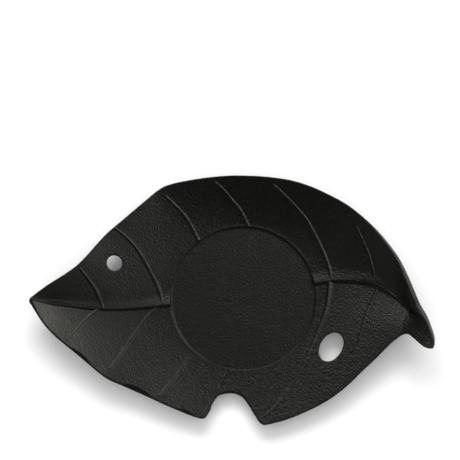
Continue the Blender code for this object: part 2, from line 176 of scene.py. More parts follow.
# From the X share of the leaf's length where the tail starts on, slopes count as this much steeper there
TAIL_START_SHARE = 0.3
TAIL_SLOPE_SHARE = 1.35

# How coarse the sand shows on the steep tail, at the leaf's worn tip and in the recess, for 1 elsewhere
SAND = "sand"
STEEP_SAND_SHARE = 0.8
TIP_SAND_SHARE = 0.4
RECESS_SAND_SHARE = 0.85

# The tip's wear: the X share of the leaf's length where it ends, and over how much of the length it grows
WEAR_END_SHARE = 0.05
WEAR_REACH_SHARE = 0.5

# Where the paint is dry and dull: on the near rim's side
DULL = "dull"

# How thin a vein is at its thin end, and the midrib at the leaf's tip and at both ends of its right half
VEIN_END_SHARE = 0.5
MIDRIB_TIP_SHARE = 0.35
MIDRIB_TAIL_SHARES = (0.85, 1.35)

# Flats where the near edge was fettled: the middle's share of the way from the tip to the bite, half the
# length and the width in metres
EDGE_FLATS = ((0.36, 0.0065, 0.0014), (0.66, 0.0078, 0.0019), (0.90, 0.0046, 0.0013))

# Side veins that are thicker than the rest, and by how much
THICK_VEINS = {"near_bite": 1.9, "near_right": 1.5}

# Most of a noise lies within this much of its range from 0 to 1
NOISE_RANGE = 0.4

# The width of the rings cut round the recess and how much of the recess's edge lies outside its radius,
# both as shares of the edge's width
RECESS_BAND_SHARE = 1.5
RECESS_SPILL_SHARE = 0.25

# How finely the casting and the feet are cut
RIM_SPACING = 0.0006
VALLEY_SPACING = 4 * RIM_SPACING
UPPER_CELL = 0.00066
LOWER_CELL = 0.0015
RIB_CUTS = 2
SLOPE_STEP = 0.0005
WELD_REACH = 0.000002
FLATNESS_SHARE = 0.001
RIM_SEGMENTS = 5
RECESS_SIDES = 288
RECESS_RINGS = 14
HOLE_SIDES = 64
BOSS_SIDES = 64
BOSS_SEGMENTS = 4
FOOT_SIDES = 96
FLOOR_SIDES = 96
CORNER_STEPS = 8
SURROUND_KNOTS = 24
FOLD_POINTS = 8
CORNER_REACH = 0.002
CORNER_SMOOTHINGS = 7
PLACES_AT_ONCE = 8000

# How the skin's streaks and the oval hole lie, turned from X, how long a streak is for its width, and
# how many wrinkles long its bends are
STREAK_TURN = radians(-55)
STREAK_STRETCH = 1.5
STREAK_BEND = 4
OVAL_HOLE_TURN = radians(-30)

# Which side of the recess has the soft edge, turned from X
SOFT_EDGE_TURN = radians(150)

# The noise's values between and on the grains, and there the paint's shade and what its roughness gains
GRAIN_RANGE = (0.3, 0.7)
GRAIN_SHADES = (0.8, 1.25)
GRAIN_ROUGHNESS = (0.06, -0.04)

# The feet: the middle of the dimple's slope as shares of its radius and depth, and how much smaller the
# rounding of a pad's upper edge is
DIMPLE_SLOPE_SHARES = (0.5, 0.8)
TOP_ROUND_PARTS = 3

# Widths and heights of the softboxes
SQUARE_BOX = (0.3, 0.3)
LONG_BOX = (0.9, 0.25)
WIDE_BOX = (0.8, 0.5)
CEILING_BOX = (2.4, 2.4)

# Softboxes: azimuth from the far side, elevation, width and height, and radiance, where 1 is white
LAMPS = {
    "far_softbox": (-15, 32, *SQUARE_BOX, 26),
    "high_softbox": (-30, 50, *SQUARE_BOX, 8),
    "right_softbox": (65, 32, *SQUARE_BOX, 20),
    "side_softbox": (90, 50, *SQUARE_BOX, 8),
    "back_softbox": (40, 32, *SQUARE_BOX, 12),
    "low_softbox": (45, 16, *SQUARE_BOX, 5),
    "left_softbox": (-110, 32, *SQUARE_BOX, 3),
    "near_softbox": (140, 10, *LONG_BOX, 1.5),
    "near_left_softbox": (-150, 10, *LONG_BOX, 1),
    "floor_softbox": (-5, 54, *WIDE_BOX, 6.4),
    "floor_fill": (0, 90, *CEILING_BOX, 1.4),
}

# The ones that light the floor alone, while the others light the dish alone
FLOOR_LAMPS = ("floor_softbox", "floor_fill")

# The photograph's frame, in its own pixels
FRAME_PIXELS = 460
RECESS_PIXEL = (243, 298)
PIXEL_SIZE = 0.000378


def linear(hex_colour):
    """A linear colour from an sRGB hex one."""
    shares = [int(hex_colour[start:start + 2], 16) / 255 for start in (1, 3, 5)]
    return tuple(s / 12.92 if s <= 0.04045 else ((s + 0.055) / 1.055) ** 2.4 for s in shares)


def length(name, description, default):
    """A length that a user can change."""
    return FloatProperty(
        name=name, description=description, default=default, min=0, precision=5, subtype="DISTANCE",
        unit="LENGTH",
    )


def fraction(name, description, default):
    """A share from 0 to 1 that a user can change."""
    return FloatProperty(name=name, description=description, default=default, min=0, max=1)


def colour(name, description, hex_colour):
    """A colour that a user can change."""
    return FloatVectorProperty(
        name=name, description=description, default=linear(hex_colour), subtype="COLOR"
    )


class LeafSizes(bpy.types.PropertyGroup):
    """Sizes of the casting, the same as the frame's but for its ribs and edges, which are finer here."""

    leaf_length: length("Leaf length", "Length that the X shares of the leaf's points are of", 0.152)
    leaf_width: length("Leaf width", "Width that the Y shares of the leaf's points are of", 0.095)
    rim_rise: length("Rim rise", "Height of the tail's tip over the flat middle", 0.017)
    thickness: length("Thickness", "Wall of the casting", 0.003)
    rim_round: length("Rim rounding", "Radius of the rim's and the holes' edges", 0.0007)
    valley_round: length("Valley rounding", "Half width of the soft valley under the midrib", 0.0015)
    recess_radius: length("Recess radius", "Radius of the cup recess", 0.0275)
    recess_depth: length("Recess depth", "Depth of the cup recess", 0.0008)
    recess_slope: length("Recess slope", "Width of the recess's edge on its soft side", 0.001)
    recess_wall: length("Recess wall", "Width of the recess's edge on its steep side", 0.0004)
    surround_width: length("Surround width", "Level band round the recess", 0.001)
    surround_fade: length("Surround fade", "Band over which the leaf starts to rise", 0.0025)
    midrib_height: length("Midrib height", "Height of the midrib at the recess", 0.0008)
    ledge_reach: length("Ledge reach", "Width of the soft rise on the midrib's far side", 0.005)
    ledge_drop: length("Ledge drop", "Width of the midrib's slope down to the near side", 0.0014)
    vein_soft: length("Vein soft", "Width of a far vein's soft side, towards the tip", 0.0011)
    vein_steep: length("Vein steep", "Width of a far vein's steep side, towards the tail", 0.0009)
    vein_height: length("Vein height", "Height of a far side vein at its thick end", 0.00075)
    low_vein_height: length("Low vein height", "Height of a near side vein at its thick end", 0.0006)
    low_vein_steep: length("Low vein steep", "Width of a near vein's steep side, towards the tip", 0.0006)
    low_vein_soft: length("Low vein soft", "Width of a near vein's soft side, towards the tail", 0.0013)
    edge_fall: length("Edge fall", "Width of the band along the near edge that falls off", 0.0007)
    flat_depth: length("Flat depth", "Drop of the near edge for 1 mm of its band's width", 0.0007)
    rim_draft: length("Rim draft", "How far the rim's side leans in", 0.0005)
    fold_round: length("Fold rounding", "Half width of the fold at the tail", 0.0005)
    round_hole: length("Round hole", "Diameter of the round hole", 0.0053)
    oval_hole_length: length("Oval hole length", "Long diameter of the oval hole", 0.0113)
    oval_hole_width: length("Oval hole width", "Short diameter of the oval hole", 0.0078)
    boss_diameter: length("Boss diameter", "Diameter of the bosses that hold the feet", 0.0105)
    boss_height: length("Boss height", "Height of the bosses under the leaf", 0.0015)
    boss_round: length("Boss rounding", "Radius of a boss's edge", 0.0004)
    boss_fillet: length("Boss fillet", "Cast fillet where a boss meets the leaf", 0.0006)
    socket_roof: length("Socket roof", "Metal between a foot's socket and the recess", 0.0012)
    pit_radius: length("Pit radius", "Radius of the casting pit near the leaf's tip", 0.0005)
    pit_depth: length("Pit depth", "Depth of that pit", 0.00025)


class FootSizes(bpy.types.PropertyGroup):
    """Sizes of the push-in rubber feet, the same as the frame's."""

    pad_diameter: length("Pad diameter", "Diameter of a foot's pad", FOOT_HIGH.x - FOOT_LOW.x)
    pad_height: length("Pad height", "Height of a foot's pad", 0.0022)
    pad_round: length("Pad rounding", "Radius of the pad's edges", 0.0006)
    dimple_radius: length("Dimple radius", "Radius of the shallow hollow under a foot", 0.0026)
    dimple_depth: length("Dimple depth", "Depth of that hollow", 0.0003)
    stem_diameter: length("Stem diameter", "Diameter of the stem in the socket", 0.004)
    fit_gap: length("Fit gap", "Clearance round the stem and over the pad", 0.0003)


class SkinSettings(bpy.types.PropertyGroup):
    """The painted sand-cast skin."""

    paint: colour("Paint", "Colour of the satin black paint", "#0c0c0c")
    rubber: colour("Rubber", "Colour of the rubber feet", "#1a1a1a")
    rubber_grain: length("Rubber grain", "Width of the feet's fine moulded grain", 0.0003)
    rubber_grain_depth: length("Rubber grain depth", "Depth of that grain", 0.00003)
    paint_roughness: fraction("Paint roughness", "Roughness of the paint between grains", 0.42)
    dull_roughness: fraction("Dull roughness", "Roughness where the paint is dry", 0.85)
    grain: length("Grain", "Width of the sand's grain in the paint", 0.00055)
    grain_depth: length("Grain depth", "Depth of that grain", 0.0001)
    grit: length("Grit", "Width of the fine grit between the grains", 0.0003)
    grit_depth: length("Grit depth", "Depth of that grit", 0.000012)
    wrinkle: length("Wrinkle", "Width of the mould wash's wrinkles", 0.001)
    wrinkle_depth: length("Wrinkle depth", "Depth of those wrinkles", 0.0001)
    unevenness: length("Unevenness", "Distance between the soft rises of the cast surface", 0.009)
    unevenness_depth: length("Unevenness depth", "Depth of those rises", 0.00008)


class StudioSettings(bpy.types.PropertyGroup):
    """The studio and the camera."""

    floor: colour("Floor", "Colour of the floor", "#f7f7f7")
    floor_reach: length("Floor reach", "Radius of the round floor", 3.0)
    glow_start: length("Glow start", "Where the paper's own white starts to grow", 0.25)
    glow_end: length("Glow end", "Where the paper's own white is full", 1.2)
    glow: fraction("Glow", "Own white of the paper near the dish, for the camera", 0.02)
    far_glow: fraction("Far glow", "The same far from the dish", 0.5)
    lamp_distance: length("Lamp distance", "From the dish to each softbox", 1.2)
    lamp_level: fraction("Lamp level", "Level of all the softboxes", 1.0)
    world_level: fraction("World level", "Level of the room's own light", 0.04)
    camera_elevation: FloatProperty(
        name="Camera elevation", description="Angle over the horizon", default=radians(80), subtype="ANGLE"
    )
    lens: FloatProperty(name="Lens", description="Focal length", default=200, min=1, unit="CAMERA")
    sensor: FloatProperty(name="Sensor", description="Sensor's width", default=36, min=1, unit="CAMERA")


def placed(shares, sizes):
    """Points of the leaf in metres: x, y and, where the shares have one, rise."""
    scale = (sizes.leaf_length, sizes.leaf_width, sizes.rim_rise)
    return np.array([[share * size for share, size in zip(point, scale)] for point in shares])


def smooth_run(points, spacing):
    """Points about spacing apart, along a smooth curve through the given ones."""
    before_first = 2 * points[0] - points[1]
    after_last = 2 * points[-1] - points[-2]
    padded = np.vstack([before_first, points, after_last])
    run = []
    for before, start, end, after in zip(padded, padded[1:], padded[2:], padded[3:]):
        steps = max(1, round(float(np.linalg.norm(end - start)) / spacing))
        for t in np.arange(steps) / steps:
            bend = (2 * before - 5 * start + 4 * end - after) * t
            turn = (3 * start - before - 3 * end + after) * t * t
            run.append(start + t * (end - before + bend + turn) / 2)
    run.append(points[-1])
    return np.array(run)


def ease(share):
    """A smooth step from 0 to 1."""
    share = np.clip(share, 0, 1)
    return share * share * (3 - 2 * share)


def near_run(places, run):
    """Each place's distance from a run of points, above 0 on its left, and its share of the run."""
    starts, steps = run[:-1], np.diff(run, axis=0)
    offsets = places[:, None] - starts[None]
    along = np.clip((offsets * steps).sum(axis=2) / (steps * steps).sum(axis=1), 0, 1)
    gaps = np.linalg.norm(offsets - along[..., None] * steps, axis=2)
    nearest = gaps.argmin(axis=1)
    rows = np.arange(len(places))
    step, offset = steps[nearest], offsets[rows, nearest]
    side = np.where(step[:, 0] * offset[:, 1] - step[:, 1] * offset[:, 0] < 0, -1, 1)
    return side * gaps[rows, nearest], (nearest + along[rows, nearest]) / len(steps)


def in_parts(places, work):
    """Do the work on a part of the places at a time, so that its tables stay small."""
    parts = [places[start:start + PLACES_AT_ONCE] for start in range(0, len(places), PLACES_AT_ONCE)]
    return np.concatenate([work(part) for part in parts])


class LeafSheet:
    """The dished sheet that the leaf is bent onto: two springy sheets that meet in the midrib's valley."""

    def __init__(self, sizes):
        self.sizes = sizes
        midrib = (*MIDRIB_LEFT_SHARES, *MIDRIB_RIGHT_SHARES)
        valley = placed((LEAF_TIP_SHARE, *midrib, *TAIL_FOLD_SHARES, TAIL_CORNER_SHARE), sizes)
        surround = np.array([
            [radius * cos(turn), radius * sin(turn), 0]
            for radius in (sizes.recess_radius / 2, sizes.recess_radius + sizes.surround_width)
            for turn in np.arange(SURROUND_KNOTS) * 2 * pi / SURROUND_KNOTS
        ])
        far_rim = placed((*FAR_EDGE_SHARES, TAIL_TIP_SHARE, *TAIL_LIP_SHARES), sizes)
        near_rim = placed(
            (*NEAR_EDGE_LEFT_SHARES, BITE_LEFT_SHARE, BITE_RIGHT_SHARE, *NEAR_EDGE_RIGHT_SHARES), sizes
        )
        self.valley_line = smooth_run(valley[:, :2], VALLEY_SPACING)
        self.far_sheet = self.sheet_through(np.vstack([valley, surround, far_rim]))
        self.near_sheet = self.sheet_through(np.vstack([valley, surround, near_rim]))

    def sheet_through(self, knots):
        """The rise of a springy sheet through knots of x, y and rise, as a function of places."""
        unit = self.sizes.leaf_length
        places = knots[:, :2] / unit
        count = len(places)

        def pull(targets):
            apart = np.linalg.norm(targets[:, None] - places[None], axis=2)
            return apart**2 * np.log(np.where(apart > 0, apart, 1))

        system = np.zeros((count + 3, count + 3))
        system[:count, :count] = pull(places)
        system[:count, count] = 1
        system[:count, count + 1:] = places
        system[count:, :count] = system[:count, count:].T
        weights = np.linalg.solve(system, np.append(knots[:, 2], [0, 0, 0]))

        def rise(targets):
            shares = targets / unit
            return pull(shares) @ weights[:count] + weights[count] + shares @ weights[count + 1:]

        return rise

    def rise(self, places):
        """How far the middle of the plate's thickness rises above the flat middle of the leaf."""
        side, along = near_run(places, self.valley_line)
        fold = ease((along - FOLD_START_SHARE) / (1 - FOLD_START_SHARE))
        soft = self.sizes.valley_round + (self.sizes.fold_round - self.sizes.valley_round) * fold
        far_share = ease(0.5 + side / (2 * soft))
        rise = far_share * self.far_sheet(places) + (1 - far_share) * self.near_sheet(places)
        radius = np.linalg.norm(places, axis=1)
        return rise * ease((radius - self.sizes.recess_radius) / self.sizes.surround_fade)

    def bent(self, flat, level):
        """Flat points of the plate bent onto the sheet, and how steep it is there.

        The points stay upright over gentle slopes and square to the sheet on steep ones.
        """
        places = flat[:, :2]
        across, along = np.array([SLOPE_STEP, 0]), np.array([0, SLOPE_STEP])
        moves = (0 * across, across, -across, along, -along)
        middle, right, left, far, near = [in_parts(places + move, self.rise) for move in moves]
        slope_x = (right - left) / (2 * SLOPE_STEP)
        slope_y = (far - near) / (2 * SLOPE_STEP)
        steepness = np.hypot(slope_x, slope_y)
        tail = ease(flat[:, 0] / self.sizes.leaf_length / TAIL_START_SHARE)
        counted = steepness * (1 + (TAIL_SLOPE_SHARE - 1) * tail)
        lean = ease((counted - GENTLE_SLOPE_SHARE) / (STEEP_SLOPE_SHARE - GENTLE_SLOPE_SHARE))
        upward = np.column_stack([-slope_x * lean, -slope_y * lean, np.ones(len(places))])
        spread = np.sqrt(1 + steepness**2) / (1 + lean * steepness**2)
        half = self.sizes.thickness / 2
        centre = np.column_stack([places, middle + level + half])
        return centre + upward * ((flat[:, 2] - half) * spread)[:, None], steepness


def plan_run(shares, sizes):
    """A smooth run in plan, in metres."""
    return smooth_run(placed([share[:2] for share in shares], sizes), RIM_SPACING)


def near_edges(sizes):
    """The near edge from the leaf's tip to the bite, round the bite, and on to the tail's corner."""
    return [
        plan_run((LEAF_TIP_SHARE, *NEAR_EDGE_LEFT_SHARES, BITE_LEFT_SHARE), sizes),
        plan_run((BITE_LEFT_SHARE, *BITE_EDGE_SHARES, BITE_RIGHT_SHARE), sizes),
        plan_run((BITE_RIGHT_SHARE, *NEAR_EDGE_RIGHT_SHARES, TAIL_CORNER_SHARE), sizes),
    ]


def leaf_outline(sizes):
    """The leaf's edge in plan, as one closed run of points."""
    tail = (TAIL_CORNER_SHARE, *TAIL_LIP_SHARES[::-1], TAIL_TIP_SHARE)
    far_edge = plan_run((*tail, *FAR_EDGE_SHARES[::-1], LEAF_TIP_SHARE), sizes)
    return np.vstack([run[:-1] for run in (*near_edges(sizes), far_edge)])


def edges_of(verts):
    """The edges that run between some vertices."""
    verts = set(verts)
    edges = {edge for vert in verts for edge in vert.link_edges}
    return [edge for edge in edges if verts.issuperset(edge.verts)]


def ring(bm, width, height, sides, matrix):
    """The edges of an ellipse."""
    made = bmesh.ops.create_circle(
        bm, segments=sides, radius=width / 2, matrix=matrix @ Matrix.Diagonal((1, height / width, 1, 1))
    )
    return edges_of(made["verts"])


def edge_rings(bm, sizes):
    """The leaf's outline and its two holes, as rings of edges on the flat leaf's underside."""
    verts = [bm.verts.new((x, y, 0)) for x, y in leaf_outline(sizes)]
    outline = [bm.edges.new(pair) for pair in zip(verts, verts[1:] + verts[:1])]
    corners = (LEAF_TIP_SHARE, TAIL_TIP_SHARE, TAIL_CORNER_SHARE, BITE_RIGHT_SHARE, BITE_LEFT_SHARE)
    corners = placed([corner[:2] for corner in corners], sizes)
    blunt = [
        vert for vert in verts
        if min(np.linalg.norm(corners - vert.co[:2], axis=1)) < CORNER_REACH
    ]
    for _ in range(CORNER_SMOOTHINGS):
        bmesh.ops.smooth_vert(bm, verts=blunt, factor=0.5, use_axis_x=True, use_axis_y=True)
    rings = [outline]
    for share, width, height in (
        (ROUND_HOLE_SHARE, sizes.round_hole, sizes.round_hole),
        (OVAL_HOLE_SHARE, sizes.oval_hole_width, sizes.oval_hole_length),
    ):
        place = Matrix.Translation((*placed([share], sizes)[0], 0))
        rings.append(ring(bm, width, height, HOLE_SIDES, place @ Matrix.Rotation(OVAL_HOLE_TURN, 4, "Z")))
    return rings


def is_level(face):
    """Whether a face of the flat leaf is part of its upper or lower side."""
    return abs(face.normal.z) > 1 - FLATNESS_SHARE


def level_faces(bm, height, sides=3):
    """The faces of the flat leaf that lie level at a height and have at least so many sides."""
    return [
        face for face in bm.faces
        if len(face.verts) >= sides and is_level(face)
        and abs(face.calc_center_median().z - height) < WELD_REACH
    ]


def round_edges(bm, edges, radius, segments):
    """Round some edges off."""
    bmesh.ops.bevel(
        bm, geom=edges, offset=radius, segments=segments, profile=0.5, affect="EDGES", material=-1
    )


def flat_leaf(bm, sizes, foot_places):
    """The flat leaf with rounded edges. Returns its recess face and its boss faces."""
    lower = [edge for rim in edge_rings(bm, sizes) for edge in rim]
    walls = bmesh.ops.extrude_edge_only(bm, edges=lower)["geom"]
    raised = [item for item in walls if isinstance(item, bmesh.types.BMVert)]
    bmesh.ops.translate(bm, verts=raised, vec=(0, 0, sizes.thickness))
    upper = edges_of(raised)
    recess_width = 2 * sizes.recess_radius + sizes.recess_slope
    recess_ring = ring(
        bm, recess_width, recess_width, RECESS_SIDES, Matrix.Translation((0, 0, sizes.thickness))
    )
    boss_rings = [
        ring(bm, sizes.boss_diameter, sizes.boss_diameter, BOSS_SIDES, Matrix.Translation((*place, 0)))
        for place in foot_places
    ]
    bmesh.ops.triangle_fill(bm, use_dissolve=True, edges=upper + recess_ring, normal=(0, 0, 1))
    boss_edges = [edge for boss_ring in boss_rings for edge in boss_ring]
    bmesh.ops.triangle_fill(bm, use_dissolve=True, edges=lower + boss_edges, normal=(0, 0, -1))
    discs = [
        bmesh.ops.contextual_create(bm, geom=disc_ring)["faces"][0]
        for disc_ring in (recess_ring, *boss_rings)
    ]
    bmesh.ops.recalc_face_normals(bm, faces=bm.faces)
    rim = [edge for edge in bm.edges if sum(is_level(face) for face in edge.link_faces) == 1]
    round_edges(bm, rim, sizes.rim_round, RIM_SEGMENTS)
    bm.normal_update()
    bite = Vector(placed([BITE_SHARE], sizes)[0])
    for vert in bm.verts:
        drafted = (vert.co.xy - bite).length > BITE_REACH
        if drafted and WELD_REACH < vert.co.z < sizes.thickness - WELD_REACH:
            vert.co.xy -= vert.normal.xy * sizes.rim_draft * (1 - vert.co.z / sizes.thickness)
    return discs[0], discs[1:]


def pushed(bm, face, distance):
    """A face pushed along Z, with walls behind it. Returns the moved face."""
    moved = bmesh.ops.extrude_discrete_faces(bm, faces=[face])["faces"][0]
    bmesh.ops.translate(bm, verts=moved.verts, vec=(0, 0, distance))
    return moved


def cast_boss(bm, face, sizes, foot):
    """A boss under the leaf, rounded at its foot and its end, with the blind socket for a rubber foot."""
    base = list(face.edges)
    end = pushed(bm, face, -sizes.boss_height)
    brink = list(end.edges)
    socket_radius = foot.stem_diameter / 2 + foot.fit_gap
    wide = sizes.boss_diameter / 2 - socket_radius
    bmesh.ops.inset_individual(bm, faces=[end], thickness=wide, use_even_offset=True)
    depth = sizes.boss_height + sizes.thickness - sizes.recess_depth - sizes.socket_roof
    pushed(bm, end, depth)
    for edges, radius in ((brink, sizes.boss_round), (base, sizes.boss_fillet)):
        round_edges(bm, edges, radius, BOSS_SEGMENTS)


def sink_recess(bm, face, sizes):
    """Rings of narrow faces where the recess's soft edge comes."""
    width = sizes.recess_slope * RECESS_BAND_SHARE / RECESS_RINGS
    for _ in range(RECESS_RINGS):
        bmesh.ops.inset_individual(bm, faces=[face], thickness=width, use_even_offset=True)


def dice(bm, faces, axis, cell, lines=None):
    """Cut level faces into strips a cell wide, by halving them again and again."""
    if lines is None:
        reach = [vert.co.dot(axis) for face in faces for vert in face.verts]
        lines = range(ceil(min(reach) / cell), ceil(max(reach) / cell))
    if not faces or not lines:
        return faces
    half = len(lines) // 2
    place = lines[half] * cell
    edges = {edge for face in faces for edge in face.edges}
    verts = {vert for face in faces for vert in face.verts}
    cut = bmesh.ops.bisect_plane(
        bm, geom=[*faces, *edges, *verts], dist=WELD_REACH / 10, plane_co=axis * place, plane_no=axis
    )
    low, high = [], []
    for item in cut["geom"]:
        if isinstance(item, bmesh.types.BMFace):
            (high if item.calc_center_median().dot(axis) > place else low).append(item)
    return dice(bm, low, axis, cell, lines[:half]) + dice(bm, high, axis, cell, lines[half + 1:])


def rib_runs(sizes):
    """Each rib's run, its size at both ends, its height and its half widths on its left and right."""
    section = sizes.midrib_height, sizes.ledge_reach, sizes.ledge_drop
    yield plan_run(MIDRIB_LEFT_SHARES, sizes), MIDRIB_TIP_SHARE, 1, *section
    yield plan_run(MIDRIB_RIGHT_SHARES, sizes), *MIDRIB_TAIL_SHARES, *section
    for name, shares in VEIN_SHARES.items():
        if name.startswith("far"):
            section = sizes.vein_height, sizes.vein_soft, sizes.vein_steep
        else:
            section = sizes.low_vein_height, sizes.low_vein_soft, sizes.low_vein_steep
        yield plan_run(shares, sizes), THICK_VEINS.get(name, 1), VEIN_END_SHARE, *section


def rib_height(places, runs):
    """How far the ribs stand out of the leaf: a soft ridge, as a wax thread pressed on a pattern casts."""
    height = np.zeros(len(places))
    for run, start_size, end_size, full, left, right in runs:
        side, along = near_run(places, run)
        size = start_size + (end_size - start_size) * along
        gap = np.clip(np.abs(side) / (np.where(side > 0, left, right) * size), 0, 1)
        height = np.maximum(height, full * size * (1 - gap) ** 2 * (1 + gap))
    return height


def recess_share(places, sizes):
    """How far down the recess's soft edge each place is: 0 outside the recess, 1 on its floor."""
    turn = np.arctan2(places[:, 1], places[:, 0])
    softness = ease(0.5 + 0.5 * np.cos(turn - SOFT_EDGE_TURN))
    width = sizes.recess_wall + (sizes.recess_slope - sizes.recess_wall) * softness
    inward = sizes.recess_radius + width * RECESS_SPILL_SHARE - np.linalg.norm(places, axis=1)
    return ease(inward / width)


def edge_depth(places, sizes):
    """How far the leaf falls off at the near edge, with its fettled flats."""
    left, *rest = near_edges(sizes)
    side, along = near_run(places, left)
    edge_length = float(np.linalg.norm(np.diff(left, axis=0), axis=1).sum())
    width = np.full(len(places), sizes.edge_fall)
    for middle, half_length, flat_width in EDGE_FLATS:
        bulge = flat_width * np.clip(1 - ((along - middle) * edge_length / half_length) ** 2, 0, 1)
        width = np.maximum(width, bulge)
    depth = np.clip(width - np.abs(side), 0, None)
    for run in rest:
        side, _ = near_run(places, run)
        depth = np.maximum(depth, np.clip(sizes.edge_fall - np.abs(side), 0, None))
    return depth * sizes.flat_depth / MM


def pit_depth(places, sizes):
    """How deep the casting pit is."""
    apart = np.linalg.norm(places - placed([PIT_SHARE], sizes)[0], axis=1)
    return sizes.pit_depth * np.clip(1 - (apart / sizes.pit_radius) ** 2, 0, None)


def refine_along(bm, faces, runs):
    """Cut the cells along some runs more finely, as far as each one's widths on its left and right."""
    centres = np.array([face.calc_center_median()[:2] for face in faces])
    near = np.zeros(len(faces), bool)
    for run, left, right in runs:
        reach = UPPER_CELL + max(left, right)
        close = np.all((centres > run.min(axis=0) - reach) & (centres < run.max(axis=0) + reach), axis=1)
        rows = np.flatnonzero(close)
        side, _ = near_run(centres[rows], run)
        near[rows[(side < left + UPPER_CELL) & (side > -right - UPPER_CELL)]] = True
    edges = {edge for face, is_near in zip(faces, near) if is_near for edge in face.edges}
    bmesh.ops.subdivide_edges(bm, edges=list(edges), cuts=RIB_CUTS, use_grid_fill=True)


def roughen(bm, skin, sand_layer):
    """Sink every point a little by the unevenness and the streaky wrinkles of the sand mould."""
    bm.normal_update()
    squeeze = Matrix.Diagonal((1 / STREAK_STRETCH, 1, 1)) @ Matrix.Rotation(-STREAK_TURN, 3, "Z")
    for vert in bm.verts:
        rise = 0.5 + 0.5 * noise.noise(vert.co / skin.unevenness)
        wrinkle = 0.5 + 0.5 * noise.noise(squeeze @ vert.co / skin.wrinkle)
        vert.co -= vert.normal * (
            skin.unevenness_depth * rise + skin.wrinkle_depth * wrinkle * vert[sand_layer]
        )


def feet_from_frame():
    """Where the feet stand and where the recess's middle is, in the frame."""
    boxes = [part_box(name) for name in FOOT_NODES]
    places = [((low + high) / 2).to_2d() for low, high in boxes]
    middle = places[-1] - Vector((0, FOOT_CIRCLE_RADIUS))
    return places, middle


def add_object(name, bm, material):
    """A finished mesh as an object of the scene."""
    mesh = bpy.data.meshes.new(name)
    bm.to_mesh(mesh)
    bm.free()
    mesh.materials.append(material)
    item = bpy.data.objects.new(name, mesh)
    bpy.context.scene.collection.objects.link(item)
    return item


def add_piece(name, bm, material, slot, *nodes):
    """A finished piece of the dish that stands for nodes of the frame."""
    bmesh.ops.recalc_face_normals(bm, faces=bm.faces)
    piece = add_object(name, bm, material)
    piece.data.shade_smooth()
    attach(piece, "root")
    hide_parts(*nodes)


def add_node(tree, kind, sockets=None, **settings):
    """A shader node with its settings, its sockets' values and the outputs that they are linked to.

    A Mix node's sockets share their names, so they are given by number.
    """
    node = tree.nodes.new(kind)
    for name, value in settings.items():
        setattr(node, name, value)
    for name, value in (sockets or {}).items():
        if isinstance(value, bpy.types.NodeSocket):
            tree.links.new(value, node.inputs[name])
        else:
            node.inputs[name].default_value = value
    return node


def new_material(name):
    """A material and its node tree, still empty."""
    material = bpy.data.materials.new(name)
    material.use_nodes = True
    material.node_tree.nodes.clear()
    return material, material.node_tree


def painted_cast_iron(skin):
    """Satin black stove paint, sprayed thin over sand-cast iron.

    The paint follows every grain of the mould's sand, so it shows as a fine grit with a soft sheen. The
    grains lie in short streaks where the mould wash was brushed on.
    """
    material, tree = new_material("satin_black_painted_cast_iron")
    place = add_node(tree, "ShaderNodeTexCoord").outputs["Object"]
    sand = add_node(tree, "ShaderNodeAttribute", attribute_name=SAND).outputs["Fac"]
    bend_width = STREAK_BEND * skin.wrinkle
    bend = add_node(tree, "ShaderNodeTexNoise", {"Vector": place, "Scale": 1 / bend_width, "Detail": 1})
    bent = add_node(
        tree, "ShaderNodeVectorMath",
        {0: bend.outputs["Color"], 1: (skin.wrinkle,) * 3, 2: place},
        operation="MULTIPLY_ADD",
    )
    streaks = add_node(
        tree, "ShaderNodeMapping",
        {
            "Vector": bent.outputs["Vector"], "Rotation": (0, 0, STREAK_TURN),
            "Scale": (STREAK_STRETCH, 1, 1),
        },
        vector_type="TEXTURE",
    )
    grain = add_node(
        tree, "ShaderNodeTexNoise",
        {"Vector": streaks.outputs["Vector"], "Scale": 1 / skin.grain, "Detail": 1, "Roughness": 0.4},
    ).outputs["Fac"]
    grit = add_node(tree, "ShaderNodeTexNoise", {"Vector": place, "Scale": 1 / skin.grit, "Detail": 1})
    low = add_node(
        tree, "ShaderNodeMath", {0: grit.outputs["Fac"], 1: skin.grit_depth / skin.grain_depth},
        operation="MULTIPLY",
    )
    height = add_node(
        tree, "ShaderNodeMath", {0: grain, 1: sand, 2: low.outputs["Value"]}, operation="MULTIPLY_ADD"
    )
    bump = add_node(
        tree, "ShaderNodeBump",
        {"Strength": 1, "Distance": skin.grain_depth / NOISE_RANGE, "Height": height.outputs["Value"]},
    )
    dark, light = [(*[c * shade for c in skin.paint], 1) for shade in GRAIN_SHADES]
    shades = add_node(tree, "ShaderNodeMix", {"Factor": grain, 6: dark, 7: light}, data_type="RGBA")
    hollow, crest = [skin.paint_roughness + gain for gain in GRAIN_ROUGHNESS]
    rough = add_node(
        tree, "ShaderNodeMapRange",
        {
            "Value": grain, "From Min": GRAIN_RANGE[0], "From Max": GRAIN_RANGE[1],
            "To Min": hollow, "To Max": crest,
        },
    )
    dull = add_node(tree, "ShaderNodeAttribute", attribute_name=DULL).outputs["Fac"]
    roughness = add_node(
        tree, "ShaderNodeMix", {0: dull, 2: rough.outputs["Result"], 3: skin.dull_roughness},
        data_type="FLOAT",
    )
    shader = add_node(
        tree, "ShaderNodeBsdfPrincipled",
        {
            "Base Color": shades.outputs[2], "Roughness": roughness.outputs[0],
            "Metallic": 0, "IOR": 1.5, "Specular IOR Level": 0.33, "Specular Tint": (1, 0.98, 0.9, 1),
            "Normal": bump.outputs["Normal"],
        },
    )
    add_node(tree, "ShaderNodeOutputMaterial", {"Surface": shader.outputs["BSDF"]})
    return material


